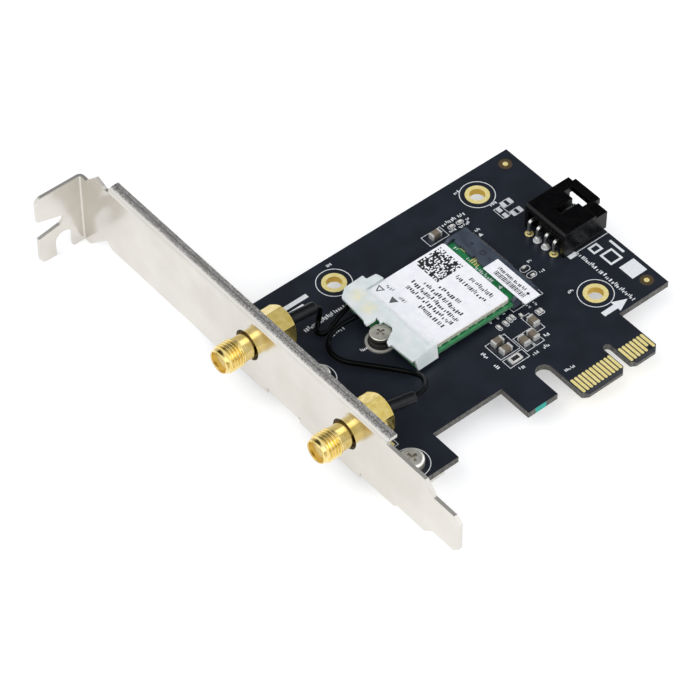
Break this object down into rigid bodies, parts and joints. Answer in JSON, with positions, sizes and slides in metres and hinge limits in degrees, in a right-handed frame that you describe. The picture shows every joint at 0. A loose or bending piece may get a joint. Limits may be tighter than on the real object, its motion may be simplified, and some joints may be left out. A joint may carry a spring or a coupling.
{
  "type": "pcie wifi card",
  "caption": "PCIe Wi-Fi card: dark board with a socketed radio module under a milky clip, rear antenna jacks on short leads, a latching header and a full-height slot bracket.",
  "frame": {"origin": "centre of the key notch at the contact edge, on the component face of the board", "axes": "+X from the bracket to the far edge of the board, +Y from the contact edge up to the bracket's fixing tab, +Z out of the component face"},
  "size_m": [0.0929, 0.12, 0.0228],
  "materials": {
    "board_laminate": "semi-gloss solder mask",
    "gold_plate": "polished plating",
    "bracket_steel": "bright nickel plate",
    "screw_steel": "bright plate",
    "jack_gold": "turned and plated",
    "insulator_white": "machined",
    "sleeve_black": "shrunk tubing",
    "lead_black": "smooth jacket",
    "module_laminate": "gloss solder mask",
    "shield_tin": "drawn",
    "paper_white": "printed paper",
    "socket_grey": "moulded",
    "clip_milky": "translucent moulding",
    "header_black": "moulded",
    "pin_tin": "tinned",
    "solder": "reflowed",
    "ceramic_brown": "fired",
    "ceramic_white": "fired",
    "chip_black": "moulded"
  },
  "bodies": {
    "root": {"board": "board_laminate", "edge_contacts_top": "gold_plate", "edge_contacts_bottom": "gold_plate", "plated_holes": "gold_plate", "surface_pads": "gold_plate", "bracket": "bracket_steel", "bracket_screws": "screw_steel", "antenna_jack_upper": "jack_gold", "antenna_jack_lower": "jack_gold", "jack_insulator_upper": "insulator_white", "jack_insulator_lower": "insulator_white", "jack_pin_upper": "jack_gold", "jack_pin_lower": "jack_gold", "lead_ferrule_upper": "jack_gold", "lead_ferrule_lower": "jack_gold", "lead_sleeve_upper": "sleeve_black", "lead_sleeve_lower": "sleeve_black", "antenna_lead_upper": "lead_black", "antenna_lead_lower": "lead_black", "lead_plug_upper": "gold_plate", "lead_plug_lower": "gold_plate", "module_receptacles": "gold_plate", "module_board": "module_laminate", "module_contacts": "gold_plate", "shield_can": "shield_tin", "radio_chip": "chip_black", "amplifier_chips": "chip_black", "clock_crystal": "screw_steel", "module_label": "paper_white", "socket_housing": "socket_grey", "socket_springs": "gold_plate", "socket_hold_downs": "solder", "socket_label": "paper_white", "standoff": "screw_steel", "module_screw": "screw_steel", "module_clip": "clip_milky", "header_housing": "header_black", "header_pins": "pin_tin", "header_solder": "solder", "capacitor_bodies": "ceramic_brown", "capacitor_ends": "solder", "resistor_body": "ceramic_white", "resistor_ends": "solder", "resistor_film": "chip_black", "chip_bodies": "chip_black", "chip_ends": "solder"}
  },
  "joints": []
}
